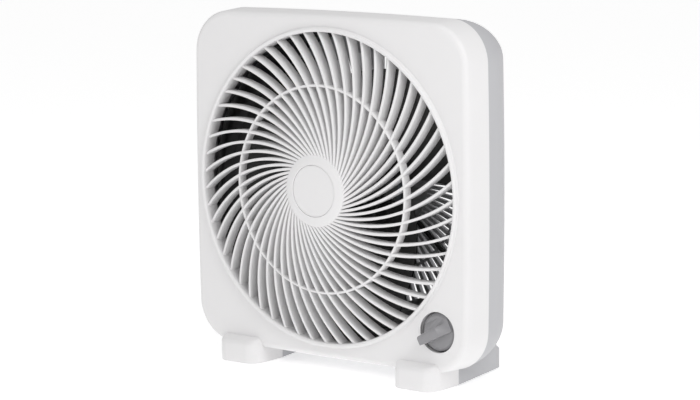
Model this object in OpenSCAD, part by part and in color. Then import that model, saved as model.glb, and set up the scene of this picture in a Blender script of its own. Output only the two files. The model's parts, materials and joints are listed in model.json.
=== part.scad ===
// Box fan: a square two-shell body on two feet, a domed swirl grille in front,
// a ribbed guard behind, and a shrouded axial blade on a small induction motor.
// World frame: X to the right, Y to the back, Z up. The origin is at the middle
// of the footprint, on the floor. Most pieces are drawn in the face frame, which
// has x to the right, y up and z towards the front, with z = 0 on the front face
// and the rotor axis at x = y = 0.

/* [Body] */
// Width over the joint between the two shells
body_w = 355; // [350:1:440]
// Height over the same joint, without the feet
body_h = 357; // [350:1:440]
// Corner radius at the joint
corner_r = 42; // [39:1:60]
// Depth of the front shell, from its face to the joint
front_depth = 35; // [32:1:50]
// Depth of the rear shell, from the joint to its flat back
rear_depth = 62; // [58:1:80]
// How far the rounded back has drawn in where it becomes flat
rear_inset = 33; // [20:1:34]
// Wall of both shells
wall = 2.6; // [2:0.1:3.2]
// Draft of the front shell's sides, from the joint to the face
side_draft = 2; // [0:0.5:4]
// Rounding of the front edge
edge_round = 6.5; // [4:0.5:10]
// Step round the joint, which leaves a shadow line
joint_step = 0.7; // [0.4:0.1:1.2]

/* [Feet] */
// Clear height of the body above the floor
foot_h = 16; // [12:0.5:30]
// Distance of each foot's centre line from the side of the body
foot_inset = 65.5; // [60:0.5:80]
// Width of a foot
foot_w = 45; // [36:1:56]
// How far the nose of a foot stands out in front of the face
foot_nose = 12.5; // [8:0.5:18]
// Height of the nose above the floor, before it rounds into the face
foot_nose_h = 24; // [20:1:34]
// Reach of the feet behind the joint
foot_reach = 91; // [80:1:110]
// Width of a foot at its rear end
foot_tail_w = 24; // [18:1:34]
// How far the rubber pads stand out of the feet
pad_proud = 0.8; // [0.5:0.1:2]

/* [Grille] */
// Radius of the clear opening
opening_r = 160; // [150:1:160]
// Width of the raised lip round the opening
lip_w = 5.2; // [4.5:0.1:6]
// Height of the raised lip
lip_h = 4.8; // [3:0.1:6]
// Depth of the ring that carries the vanes, behind the face
ring_depth = 12.5; // [12.5:0.5:16]
// Number of swirl vanes
vane_count = 55; // [35:1:60]
// Thickness of a vane
vane_t = 2.8; // [2:0.1:3]
// Depth of a vane, front to back
vane_depth = 13; // [9:0.5:14]
// Plan radius of a vane's curve
vane_curve_r = 173.5; // [160:0.5:220]
// Angle between a vane and the radius, where it leaves the hub
vane_lead = 37.7; // [20:0.1:40]
// Angle of the first vane at the hub
vane_phase = -2.5; // [-6:0.1:6]
// Radius of the middle ring
mid_ring_r = 105; // [90:1:115]
// Radius of the hub disc
hub_r = 37.5; // [34:0.5:42]
// Radius of the badge on the hub
badge_r = 26.4; // [20:0.1:28]
// Height of the vanes in front of the face at the hub, the middle ring and the rim
hub_rise = 19; // [12:0.5:24]
mid_rise = 10; // [6:0.5:14]
rim_rise = 1.2; // [0:0.1:3]

/* [Knob] */
// Distance of the knob's centre from the right side of the body
knob_side = 39.3; // [36:0.1:50]
// Distance of the knob's centre from the bottom of the body
knob_up = 45.5; // [43:0.1:60]
// Radius of the knob
knob_r = 19.2; // [15:0.1:20]
// Gap round the knob
knob_gap = 1.6; // [1:0.1:2]
// Height of the finger grip above the face
grip_rise = 9; // [6:0.5:12]
// Direction in which the pointer rests
pointer_angle = 208; // [200:1:220]
// Radius of the switch spindle
spindle_r = 3; // [2.5:0.1:3.5]

/* [Rotor] */
// Radius of the blade tips
blade_r = 149; // [130:1:150]
// Number of blades
blade_count = 3; // [3:1:6]
// Pitch of the blades
blade_pitch = 14; // [10:1:18]
// Thickness of a blade
blade_t = 2.2; // [1.8:0.1:3]
// Angle at which the first blade rests
blade_rest = 0; // [-36:1:36]
// Outer radius of the blade hub
blade_hub_r = 50; // [49:0.5:56]
// Radius of the motor shaft
shaft_r = 4; // [3:0.1:5]

/* [Motor] */
// Radius of the stator core
stator_r = 41; // [38:0.5:42]
// Thickness of the stator core
stator_l = 20; // [14:1:26]
// Depth of each end bell
bell_l = 12; // [10:0.5:14]
// Radius of the bolt circle of the motor
motor_bolt_r = 33; // [30:0.5:34]

/* [Rear guard] */
// Radius of the hole in the back of the rear shell
intake_r = 136; // [120:1:136]
// Number of radial ribs
rib_count = 80; // [48:1:90]
// Width of a rib at its outer end
rib_w = 4.2; // [3:0.1:5]
// Radius of the plate that carries the motor
plate_r = 60; // [54:1:70]

/* [Fits] */
// Clearance between shells, rings and the pieces that seat in them
seat_gap = 0.3; // [0.2:0.05:0.5]
// Radial clearance of a running fit
run_gap = 0.04; // [0.02:0.01:0.08]
// Radial clearance of a screw in its pilot hole
pilot_gap = 0.02; // [0.01:0.01:0.05]

/* [Hidden] */
$fn = 72;
eps = 0.01;

// Outline of the body: four straight sides and four corner arcs
half_w = body_w / 2;
half_h = body_h / 2;
corner_x = half_w - corner_r;
corner_y = half_h - corner_r;
band = corner_r + 6;

// Depths, measured from the front face, negative to the back
joint_z = -front_depth;
back_z = joint_z - rear_depth;
bulge_r = (rear_depth * rear_depth + rear_inset * rear_inset) / (2 * rear_inset);
bulge_a = asin(rear_depth / bulge_r);
foot_tail_z = joint_z - foot_reach;
badge_z = hub_rise + 2.3;

// Place of the face frame in the world
axis_h = foot_h + half_h;
face_y = (badge_z + foot_tail_z) / 2;
floor_y = -axis_h;
foot_x = half_w - foot_inset;
foot_sole_y = floor_y + pad_proud;
foot_tail_h = 18;
pad_r = 7;
pad_sink = 2;

// Grille
lip_r = opening_r + lip_w;
seat_r = lip_r + seat_gap;
lug_r = seat_r + 9;
lug_angles = [32, 58, 122, 148, 212, 238, 302, 328];
lug_z = -wall - seat_gap;
lug_t = 3;
boss_r = 3.6;
vane_cx = hub_r - vane_curve_r * sin(vane_lead);
vane_cy = vane_curve_r * cos(vane_lead);
vane_c = norm([vane_cx, vane_cy]);
vane_axis = atan2(vane_cy, vane_cx) - 180;
badge_t = 1.6;

// Motor stack, built forwards from the rear guard's plate
plate_t = 3;
plate_z = back_z + plate_t;
damper_t = 3;
bell_back_z = plate_z + damper_t;
core_back_z = bell_back_z + bell_l;
core_front_z = core_back_z + stator_l;
bell_front_z = core_front_z + bell_l;
bell_r = stator_r + 1.5;
bell_t = 1.6;
bearing_r = 8;
bearing_l = 9;
rotor_r = 21.5;
air_gap = 0.4;
shaft_back_z = bell_back_z + 1.2;
hub_back_z = bell_front_z - 8;
hub_front_z = bell_front_z + 18;
hub_wall = 2.4;
shaft_front_z = hub_front_z + 9;
pin_r = 1.5;
pin_half = 8;
pin_z = bell_front_z + 6;
nut_r = 13;
nut_l = 14;
nut_z = hub_front_z + seat_gap;
bolt_r = 2;

// Blade and duct
blade_mid_z = (hub_back_z + hub_front_z) / 2;
blade_share = 360 / blade_count;
blade_root_r = blade_hub_r - 1.2;
blade_steps = concat([for (i = [0 : 14]) i / 16], [0.9, 0.925, 0.95, 0.97, 0.985, 0.995, 1]);
camber_r = 500;
duct_r = blade_r + 5.5;
duct_t = 1.8;
duct_front_z = -ring_depth - 2.5;
duct_back_z = back_z + 25;
flare_r = opening_r + 3;
flare_l = 9;
duct_lug_r = duct_r + duct_t + 4.5;
duct_lug_angles = [60, 120, 240, 300];

// Rear guard
guard_flange_r = intake_r + 6;
guard_t = 2.5;
guard_screw_r = intake_r + 3;
guard_screw_angles = [30, 90, 150, 210, 270, 330];
guard_rib_d = 5;

// Shell screws, in posts on the front shell and wells in the rear shell
post_r = 4.5;
well_r = 7.5;
well_bore_r = 4.2;
post_top = [corner_x - 2, corner_y - 2];
post_low = [corner_x - 29.5, corner_y];

// Knob and switch
knob_x = half_w - knob_side;
knob_y = knob_up - half_h;
knob_hole_r = knob_r + knob_gap;
well_floor_z = -14;
well_floor_t = 2.4;
knob_face_z = 0.4;
knob_back_z = -8.5;
knob_wall = 1.8;
switch_w = 30;
switch_d = 16;
switch_z = well_floor_z - well_floor_t;
bush_r = 5;
spindle_front_z = -2;
spindle_back_z = switch_z - 10;
tag_l = 7;

// Cord inlet and inner leads
inlet = [-(half_w - 50), -(half_h - 52)];
cord_r = 3.6;
grommet_r = 6;
cap_size = [18, 36, 20];
cap_x = half_w - 45.5;
cap_y = -(half_h - 66.5);
cap_front_z = back_z + wall + cap_size[2];
lead_r = 2.2;
lead_gap = 0.02;

// ---- frames and sweeps ----

// From the face frame to the world
module facing() {
    translate([0, face_y, axis_h]) rotate([90, 0, 0]) children();
}

module at_knob() {
    translate([knob_x, knob_y, 0]) children();
}

// Both left and right copies of what is drawn at the right
module both_sides() {
    for (side = [0, 1]) mirror([side, 0, 0]) children();
}

// Copies at a radius, one for each angle
module around(radius, angles) {
    for (turn = angles) rotate(turn) translate([radius, 0, 0]) children();
}

// The four shell screw places
module at_posts() {
    both_sides() {
        translate([post_top[0], post_top[1], 0]) children();
        translate([post_low[0], -post_low[1], 0]) children();
    }
}

// Sweeps a profile round the body's outline. The profile's x is measured
// outwards from the outline, and its y is the face frame's z.
module along_outline() {
    for (turn = [0, 180]) rotate(turn) {
        translate([half_w, corner_y, 0]) rotate([90, 0, 0]) linear_extrude(2 * corner_y) children();
        translate([-corner_x, half_h, 0]) rotate([90, 0, 90]) linear_extrude(2 * corner_x) children();
    }
    for (flip_x = [0, 1], flip_y = [0, 1]) mirror([flip_x, 0, 0]) mirror([0, flip_y, 0])
        translate([corner_x, corner_y, 0]) rotate_extrude(angle = 90) intersection() {
            translate([corner_r, 0]) children();
            translate([0, -300]) square([300, 600]);
        }
}

// The flat middle of a plate, between the corner centres
module middle(low_z, high_z) {
    translate([-corner_x, -corner_y, low_z]) cube([2 * corner_x, 2 * corner_y, high_z - low_z]);
}

// Points of an arc
function arc_points(cx, cy, radius, from, to, steps) =
    [for (i = [0 : steps]) let (a = from + (to - from) * i / steps) [cx + radius * cos(a), cy + radius * sin(a)]];

// A pan head screw that points to the front, with its head seat at z = 0
module screw(length, shank_r, head_r) {
    difference() {
        union() {
            translate([0, 0, -head_r * 0.7]) cylinder(r = head_r, h = head_r * 0.7);
            cylinder(r = shank_r, h = length);
        }
        for (turn = [0, 90]) rotate(turn)
            translate([-head_r * 0.6, -head_r * 0.12, -head_r * 0.7 - 1]) cube([head_r * 1.2, head_r * 0.24, 1.9]);
    }
}

// A sleeve with round bends from point to point
module tube_path(points, radius) {
    for (i = [0 : len(points) - 2])
        hull() for (p = [points[i], points[i + 1]]) translate(p) sphere(r = radius, $fn = 16);
}

// ---- front shell ----

// Outer limit of the front shell's section, down to the joint
function front_outer() = concat(
    [[-band, 0]],
    arc_points(-side_draft - edge_round, -edge_round, edge_round, 90, 0, 6),
    [[0, joint_z]]);

module front_section() {
    polygon(concat(
        front_outer(),
        [[-wall, joint_z], [-wall - side_draft, -edge_round]],
        arc_points(-side_draft - edge_round, -edge_round, edge_round - wall, 0, 90, 4),
        [[-band, -wall]]));
}

// Plan of a foot's front half, from the joint to the nose
module foot_plan_front() {
    nose_c = foot_nose - foot_w / 2;
    translate([foot_x, -nose_c]) circle(d = foot_w);
    translate([foot_x - foot_w / 2, -nose_c]) square([foot_w, nose_c - joint_z]);
}

// Turns a plan, drawn with y as depth, into a block that stands on the floor frame
module standing(low_y, high_y) {
    translate([0, low_y, 0]) rotate([-90, 0, 0]) linear_extrude(high_y - low_y) children();
}

module foot_front() {
    nose_c = foot_nose - foot_w / 2;
    standing(foot_sole_y, floor_y + foot_h + 3) foot_plan_front();
    // the nose runs up over the face and rounds off
    intersection() {
        standing(foot_sole_y, floor_y + foot_nose_h + foot_nose) foot_plan_front();
        translate([0, 0, -wall]) linear_extrude(wall + foot_nose + 1) translate([foot_x - foot_w / 2, foot_sole_y])
            square([foot_w, foot_nose_h + foot_nose]);
        union() {
            standing(foot_sole_y, floor_y + foot_nose_h) translate([foot_x - foot_w, -foot_nose - 1])
                square([2 * foot_w, foot_nose + wall + 2]);
            translate([foot_x - foot_w, floor_y + foot_nose_h, 0]) rotate([0, 90, 0])
                cylinder(r = foot_nose, h = 2 * foot_w);
            translate([foot_x - foot_w, floor_y + foot_nose_h, -wall - 1]) cube([2 * foot_w, foot_nose, wall + 1]);
        }
    }
}

module front_shell() {
    color("white") facing() difference() {
        union() {
            along_outline() front_section();
            middle(-wall, 0);
            both_sides() foot_front();
            at_knob() translate([0, 0, well_floor_z - well_floor_t])
                cylinder(r = knob_hole_r + 2, h = -well_floor_z + well_floor_t - eps);
            around(lug_r, lug_angles) translate([0, 0, lug_z - lug_t]) cylinder(r = boss_r, h = lug_t + seat_gap + 1);
            at_posts() translate([0, 0, joint_z]) cylinder(r = post_r, h = -joint_z - 1);
        }
        translate([0, 0, -wall - 1]) cylinder(r = seat_r, h = wall + 2);
        at_knob() {
            translate([0, 0, well_floor_z]) cylinder(r = knob_hole_r, h = 40);
            translate([0, 0, well_floor_z - 5]) cylinder(r = bush_r + run_gap, h = 10);
        }
        around(lug_r, lug_angles) translate([0, 0, lug_z - lug_t - 1]) cylinder(r = 1.4 + pilot_gap, h = lug_t + 2.6);
        at_posts() translate([0, 0, joint_z]) cylinder(r = 1.6 + pilot_gap, h = 20);
        // hollow of the feet, open at the joint, and the pockets of the pads
        both_sides() {
            standing(foot_sole_y + 3, floor_y + foot_h + 3 + eps) translate([foot_x - foot_w / 2 + wall, -wall])
                square([foot_w - 2 * wall, -wall - joint_z + 2 * wall + eps]);
            translate([foot_x, foot_sole_y, foot_pad_z(0)]) pad_pocket();
        }
    }
}

// ---- rear shell ----

// Arc of the rounded back, at a radius, from one height to another
function bulge(radius, from_z, to_z, steps) = arc_points(-bulge_r, joint_z, radius,
    asin((from_z - joint_z) / radius), asin((to_z - joint_z) / radius), steps);

// The section rises at its inner side into a tongue that centres the shell inside the front one
module rear_section() {
    tongue_x = -wall - seat_gap;
    polygon(concat(
        [[-joint_step, joint_z]],
        bulge(bulge_r, joint_z - 1.5, back_z, 10),
        [[-band, back_z], [-band, back_z + wall]],
        bulge(bulge_r - wall, back_z + wall, joint_z - 4, 10),
        [[tongue_x - 1.6, joint_z - 2], [tongue_x - 1.6, joint_z + 3], [tongue_x, joint_z + 3],
            [tongue_x, joint_z]]));
}

// Plan of a foot's rear half, which tapers to its tail
module foot_plan_rear(margin) {
    root_w = foot_w / 2 - margin;
    tail_w = foot_tail_w / 2 - margin;
    polygon([[foot_x - root_w, -joint_z - eps], [foot_x + root_w, -joint_z - eps],
        [foot_x + tail_w, -foot_tail_z - margin], [foot_x - tail_w, -foot_tail_z - margin]]);
}

// Side of a foot's rear half: its top follows the inside of the shell, then falls to the tail
module foot_side_rear() {
    inner = bulge(bulge_r - wall, joint_z, back_z + wall, 8);
    inner_y = -half_h;
    polygon(concat(
        [[-joint_z, foot_sole_y]],
        [for (p = inner) [-p[1], inner_y - p[0]]],
        [[-back_z, inner_y + rear_inset + 1], [-back_z + 4, inner_y + rear_inset - 2],
            [-foot_tail_z, foot_sole_y + foot_tail_h], [-foot_tail_z, foot_sole_y]]));
}

module foot_rear() {
    intersection() {
        standing(foot_sole_y, 0) foot_plan_rear(0);
        translate([foot_x - foot_w, 0, 0]) rotate([0, 90, 0]) linear_extrude(2 * foot_w) foot_side_rear();
    }
}

// Depth of the pads' centres: 0 for the front pad, 1 for the rear one
function foot_pad_z(which) = which == 0 ? foot_nose - foot_w / 2 : foot_tail_z + 12;

module pad_pocket() {
    rotate([-90, 0, 0]) translate([0, 0, -1]) cylinder(r = pad_r + seat_gap, h = pad_sink + 1);
}

module foot_pad() {
    rotate([-90, 0, 0]) translate([0, 0, -pad_proud]) cylinder(r = pad_r, h = pad_sink + pad_proud);
}

module rear_shell() {
    color("lightgray") facing() difference() {
        union() {
            along_outline() rear_section();
            middle(back_z, back_z + wall);
            both_sides() foot_rear();
            at_posts() translate([0, 0, back_z]) cylinder(r = well_r, h = rear_depth);
            around(duct_lug_r, duct_lug_angles) translate([0, 0, back_z]) cylinder(r = 3.5, h = duct_back_z - back_z);
            capacitor_cradle();
            at_clamp_bosses() cylinder(r = 3, h = wall + 4);
        }
        translate([0, 0, back_z - 1]) cylinder(r = intake_r, h = wall + 2);
        at_posts() {
            translate([0, 0, back_z - 1]) cylinder(r = well_bore_r, h = rear_depth - 5);
            translate([0, 0, joint_z - 10]) cylinder(r = 1.9, h = 12);
        }
        around(guard_screw_r, guard_screw_angles) translate([0, 0, back_z - 1]) cylinder(r = 1.2 + pilot_gap, h = wall + 2);
        around(duct_lug_r, duct_lug_angles) translate([0, 0, duct_back_z - 9]) cylinder(r = 1.4 + pilot_gap, h = 10);
        translate([inlet[0], inlet[1], back_z - 1]) cylinder(r = grommet_r, h = wall + 2);
        at_clamp_bosses() translate([0, 0, 1.2]) cylinder(r = 1 + pilot_gap, h = wall + 4);
        both_sides() {
            standing(foot_sole_y + 3, floor_y + foot_h - 3) foot_plan_rear(wall + 0.6);
            translate([foot_x, foot_sole_y, foot_pad_z(1)]) pad_pocket();
        }
    }
}

// The two bosses that the cord clamp is screwed to
module at_clamp_bosses() {
    for (side = [-1, 1]) translate([inlet[0] + side * 8, inlet[1] + 18, back_z]) children();
}

// Two ribs that hold the capacitor by its ends
module capacitor_cradle() {
    for (side = [-1, 1]) translate([cap_x, cap_y + side * (cap_size[1] / 2 + seat_gap + 1.5), back_z])
        translate([-cap_size[0] / 2, -1.5, 0]) cube([cap_size[0], 3, wall + 8]);
}

// ---- grille ----

// Angle on a vane's arc at which it reaches a radius
function vane_turn(radius) = vane_axis
    + acos((vane_c * vane_c + vane_curve_r * vane_curve_r - radius * radius) / (2 * vane_c * vane_curve_r));

module vane() {
    from = vane_turn(hub_r - 2);
    to = vane_turn(opening_r + 0.8);
    translate([vane_cx, vane_cy, 0]) rotate(from) rotate_extrude(angle = to - from, $fn = 240)
        translate([vane_curve_r - vane_t / 2, rim_rise - vane_depth - 1])
            square([vane_t, hub_rise - rim_rise + vane_depth + 2]);
}

// The shallow dome between the front and back edges of the vanes
module vane_dome() {
    rotate_extrude() polygon([
        [hub_r - 3, hub_rise - vane_depth], [hub_r - 3, hub_rise],
        [mid_ring_r, mid_rise], [opening_r + 1, rim_rise],
        [opening_r + 1, rim_rise - vane_depth], [mid_ring_r, mid_rise - vane_depth]]);
}

module grille_hub() {
    skin = 2.2;
    rotate_extrude() polygon(concat(
        [[hub_r, hub_rise - vane_depth], [hub_r, hub_rise - 3]],
        arc_points(hub_r - 3, hub_rise - 3, 3, 0, 70, 4),
        [[badge_r + 1.4, badge_z], [badge_r + seat_gap, badge_z],
            [badge_r + seat_gap, badge_z - badge_t], [0, badge_z - badge_t],
            [0, badge_z - badge_t - skin], [hub_r - skin, badge_z - badge_t - skin],
            [hub_r - skin, hub_rise - vane_depth]]));
}

module grille_ring() {
    crest = lip_h - 2.2;
    cove_r = 1.9;
    rotate_extrude() polygon(concat(
        [[opening_r, -ring_depth], [opening_r, crest]],
        arc_points(opening_r + 2.2, crest, 2.2, 180, 20, 8),
        arc_points(lip_r + 0.9, cove_r + 0.02, cove_r, 200, 262, 4),
        [[lip_r, 0.02], [lip_r, -wall - seat_gap], [lip_r + 2.4, -wall - seat_gap], [lip_r + 2.4, -wall - seat_gap - 2],
            [opening_r + 2.4, -wall - seat_gap - 2], [opening_r + 2.4, -ring_depth]]));
}

module front_grille() {
    color("white") facing() difference() {
        union() {
            intersection() {
                for (i = [0 : vane_count - 1]) rotate(vane_phase + i * 360 / vane_count) vane();
                vane_dome();
            }
            grille_hub();
            grille_ring();
            rotate_extrude() translate([mid_ring_r, mid_rise - 9.5]) square([2.5, 9.5]);
            for (turn = lug_angles) rotate(turn) translate([0, 0, lug_z - lug_t]) linear_extrude(lug_t) {
                translate([lug_r, 0]) circle(r = 7);
                translate([opening_r + 1, -7]) square([lug_r - opening_r - 1, 14]);
            }
        }
        around(lug_r, lug_angles) translate([0, 0, lug_z - lug_t - 1]) cylinder(r = boss_r + seat_gap, h = lug_t + 2);
    }
}

module hub_badge() {
    color("whitesmoke") facing() rotate_extrude() polygon([
        [0, badge_z - badge_t], [badge_r, badge_z - badge_t], [badge_r, badge_z - 1.1],
        [badge_r - 0.5, badge_z - 0.6], [0, badge_z - 0.6]]);
}

// ---- rear guard and duct ----

module rear_guard() {
    pitch = 360 / rib_count;
    inner_w = min(rib_w, plate_r * sin(pitch) * 0.72);
    color("silver") facing() difference() {
        union() {
            translate([0, 0, back_z]) cylinder(r = plate_r, h = plate_t);
            for (i = [0 : rib_count - 1]) rotate(i * pitch) translate([0, 0, back_z - guard_t + 0.5])
                linear_extrude(guard_rib_d) polygon([[plate_r - 2, -inner_w / 2], [intake_r - 2, -rib_w / 2],
                    [intake_r - 2, rib_w / 2], [plate_r - 2, inner_w / 2]]);
            // flange outside the shell, spigot inside its hole, and a stiffening ring
            rotate_extrude() polygon([[intake_r - 3.5, back_z - guard_t], [guard_flange_r - 1, back_z - guard_t],
                [guard_flange_r, back_z - guard_t + 1], [guard_flange_r, back_z], [intake_r - seat_gap, back_z],
                [intake_r - seat_gap, back_z + 4.5], [intake_r - 3.5, back_z + 4.5]]);
            rotate_extrude() translate([(plate_r + intake_r) / 2, back_z - guard_t + 0.5]) square([2.6, guard_rib_d]);
            rotate_extrude() translate([plate_r - 2.6, back_z - guard_t + 0.5]) square([2.6, guard_rib_d]);
        }
        around(guard_screw_r, guard_screw_angles) translate([0, 0, back_z - guard_t - 1]) cylinder(r = 1.7, h = guard_t + 2);
        around(motor_bolt_r, [0, 90, 180, 270]) translate([0, 0, back_z - 1]) cylinder(r = 3.5 + seat_gap, h = plate_t + 2);
    }
}

module air_duct() {
    color("dimgray") facing() difference() {
        union() {
            rotate_extrude() polygon(concat(
                arc_points(duct_r + flare_l, duct_front_z - flare_l, flare_l, 180, 90 + 35, 5),
                [[duct_r + duct_t + 3.4, duct_front_z - flare_l + 6.2]],
                [[duct_r + duct_t, duct_front_z - flare_l - 1], [duct_r + duct_t, duct_back_z], [duct_r, duct_back_z]]));
            for (turn = duct_lug_angles) rotate(turn) translate([0, 0, duct_back_z]) linear_extrude(2.4) {
                translate([duct_lug_r, 0]) circle(r = 5);
                translate([duct_r + duct_t / 2, -5]) square([duct_lug_r - duct_r - duct_t / 2, 10]);
            }
        }
        around(duct_lug_r, duct_lug_angles) translate([0, 0, duct_back_z - 1]) cylinder(r = 1.7, h = 5);
    }
}

// ---- feet pads, inlet, screws ----

module front_foot_pads() {
    color("darkgray") facing() both_sides() translate([foot_x, foot_sole_y, foot_pad_z(0)]) foot_pad();
}

module rear_foot_pads() {
    color("darkgray") facing() both_sides() translate([foot_x, foot_sole_y, foot_pad_z(1)]) foot_pad();
}

module cord_grommet() {
    color("black") facing() translate([inlet[0], inlet[1], back_z]) rotate_extrude() polygon([
        [cord_r, -8], [grommet_r - 0.6, -8], [grommet_r + 2, -2.5], [grommet_r + 2, 0], [grommet_r - run_gap, 0],
        [grommet_r - run_gap, wall], [grommet_r + 1.6, wall], [grommet_r + 1.6, wall + 2], [cord_r, wall + 2]]);
}

module cord_clamp() {
    color("gray") facing() translate([inlet[0], inlet[1] + 18, back_z + wall + 4]) difference() {
        translate([-11.5, -3, 0]) cube([23, 6, 6]);
        rotate([90, 0, 0]) translate([0, 0, -4]) cylinder(r = cord_r, h = 8);
        for (side = [-1, 1]) translate([side * 8, 0, -1]) cylinder(r = 1.3, h = 8);
    }
}

module cord_clamp_screws() {
    color("silver") facing() at_clamp_bosses() translate([0, 0, wall + 10]) mirror([0, 0, 1]) screw(9, 1, 2.4);
}

module shell_screws() {
    color("silver") facing() at_posts() translate([0, 0, joint_z - 6]) screw(18, 1.6, 3.8);
}

module grille_screws() {
    color("silver") facing() around(lug_r, lug_angles) translate([0, 0, lug_z - lug_t]) screw(3.6, 1.4, 5);
}

module duct_screws() {
    color("silver") facing() around(duct_lug_r, duct_lug_angles) translate([0, 0, duct_back_z + 2.4])
        mirror([0, 0, 1]) screw(9, 1.4, 3);
}

module guard_screws() {
    color("silver") facing() around(guard_screw_r, guard_screw_angles) translate([0, 0, back_z - guard_t])
        screw(guard_t + wall, 1.2, 2.6);
}

// ---- motor ----

motor_angles = [45, 135, 225, 315];
damper_angles = [0, 90, 180, 270];

module motor_dampers() {
    color("black") facing() around(motor_bolt_r, damper_angles) difference() {
        union() {
            translate([0, 0, plate_z]) cylinder(r = 6, h = damper_t);
            translate([0, 0, back_z]) cylinder(r = 3.5, h = plate_t + eps);
            translate([0, 0, back_z - 2]) cylinder(r = 6, h = 2);
        }
        translate([0, 0, back_z - 3]) cylinder(r = 1.8, h = 12);
    }
}

module motor_screws() {
    color("silver") facing() around(motor_bolt_r, damper_angles) translate([0, 0, back_z - 2])
        screw(plate_t + damper_t + 2 + bell_t + 2, 1.6, 4);
}

// A pressed cup with a bearing pocket; z = 0 at its mouth, closed end at z = bell_l
module end_bell(bolt_through) {
    difference() {
        union() {
            rotate_extrude() polygon([[bell_r - bell_t, 0], [bell_r, 0], [bell_r, bell_l - 3], [bell_r - 3, bell_l],
                [bearing_r + 3, bell_l], [bearing_r + 3, bell_l + 1], [shaft_r + 2, bell_l + 1],
                [shaft_r + 2, bell_l - bell_t + 1], [bearing_r + seat_gap, bell_l - bell_t + 1],
                [bearing_r + seat_gap, bell_l - bearing_l], [bearing_r + seat_gap + bell_t, bell_l - bearing_l],
                [bearing_r + seat_gap + bell_t, bell_l - bell_t], [bell_r - 3.7, bell_l - bell_t],
                [bell_r - bell_t, bell_l - 3.7]]);
        }
        // cooling slots
        for (i = [0 : 11]) rotate(i * 30 + 15) translate([bell_r * 0.62, 0, bell_l - bell_t - 1])
            linear_extrude(bell_t + 3) square([7, 3], center = true);
        around(motor_bolt_r, motor_angles) translate([0, 0, bell_l - bell_t - 1]) cylinder(r = bolt_r + 0.1, h = bell_t + 3);
        if (bolt_through) around(motor_bolt_r, damper_angles) translate([0, 0, bell_l - bell_t - 1])
            cylinder(r = 1.6 + pilot_gap, h = bell_t + 3);
    }
}

module rear_end_bell() {
    color("gainsboro") facing() translate([0, 0, core_back_z]) mirror([0, 0, 1]) end_bell(true);
}

module front_end_bell() {
    color("gainsboro") facing() translate([0, 0, core_front_z]) end_bell(false);
}

module stator_core() {
    bore = rotor_r + air_gap;
    color("slategray") facing() translate([0, 0, core_back_z]) difference() {
        cylinder(r = stator_r, h = stator_l);
        translate([0, 0, -1]) cylinder(r = bore, h = stator_l + 2);
        // winding slots
        for (i = [0 : 7]) rotate(i * 45 + 22.5) {
            translate([27, 0, -1]) linear_extrude(stator_l + 2) square([7, 7], center = true);
            translate([bore - 1, -1, -1]) cube([5, 2, stator_l + 2]);
        }
        around(motor_bolt_r, motor_angles) translate([0, 0, -1]) cylinder(r = bolt_r + 0.1, h = stator_l + 2);
    }
}

module stator_coils() {
    color("peru") facing() translate([0, 0, core_back_z]) {
        for (i = [0 : 7]) rotate(i * 45 + 22.5) translate([27, 0, -4.5])
            linear_extrude(stator_l + 9) square([6, 6], center = true);
        for (low = [-4.5, stator_l + 0.5]) translate([0, 0, low]) difference() {
            cylinder(r = 30, h = 4);
            translate([0, 0, -1]) cylinder(r = 24, h = 6);
        }
    }
}

module bearing_bush() {
    rotate_extrude() polygon([[shaft_r + run_gap, 0], [bearing_r - 1, 0], [bearing_r, 1.4],
        [bearing_r, bearing_l - 2.4], [bearing_r - 1, bearing_l - 1], [shaft_r + run_gap, bearing_l - 1]]);
}

bearing_front_z = bell_front_z - bell_t - bearing_l + 1.8;
bearing_back_z = bell_back_z + bell_t - 0.8;

module front_bearing() {
    color("darkgoldenrod") facing() translate([0, 0, bearing_front_z]) bearing_bush();
}

module rear_bearing() {
    color("darkgoldenrod") facing() translate([0, 0, bearing_back_z]) bearing_bush();
}

module bearing_retainers() {
    retainer_r = bearing_r - 1;
    color("silver") facing() for (low = [bearing_front_z - 0.8, bearing_back_z + bearing_l - 1])
        translate([0, 0, low]) difference() {
            cylinder(r = retainer_r, h = 0.8);
            translate([0, 0, -1]) cylinder(r = shaft_r + 0.8, h = 3);
        }
}

module motor_bolts() {
    color("silver") facing() around(motor_bolt_r, motor_angles) {
        translate([0, 0, bell_back_z - 1.8]) cylinder(r = 3, h = 1.8 + eps);
        translate([0, 0, bell_back_z]) cylinder(r = bolt_r, h = bell_front_z - bell_back_z + 4);
    }
}

module motor_nuts() {
    color("silver") facing() around(motor_bolt_r, motor_angles) translate([0, 0, bell_front_z + 0.05]) difference() {
        cylinder(r = 3.6, h = 2.6, $fn = 6);
        translate([0, 0, -1]) cylinder(r = bolt_r + pilot_gap, h = 5);
    }
}

// ---- rotor ----

module rotor_core() {
    color("darkgray") facing() translate([0, 0, core_back_z]) difference() {
        union() {
            cylinder(r = rotor_r, h = stator_l);
            translate([0, 0, -1]) cylinder(r = rotor_r - 2, h = stator_l + 2);
        }
        translate([0, 0, -3]) cylinder(r = shaft_r, h = stator_l + 6);
    }
}

module motor_shaft() {
    color("silver") facing() difference() {
        translate([0, 0, shaft_back_z]) cylinder(r = shaft_r, h = shaft_front_z - shaft_back_z);
        translate([0, 0, pin_z]) rotate([0, 90, 0]) cylinder(r = pin_r, h = 4 * shaft_r, center = true);
    }
}

module drive_pin() {
    color("silver") facing() translate([0, 0, pin_z]) rotate([0, 90, 0]) cylinder(r = pin_r, h = 2 * pin_half, center = true);
}

module thrust_washers() {
    color("ivory") facing() for (low = [core_front_z + 1.05, core_back_z - 1.85]) translate([0, 0, low]) difference() {
        cylinder(r = shaft_r + 3, h = 0.8);
        translate([0, 0, -1]) cylinder(r = shaft_r, h = 3);
    }
}

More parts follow.
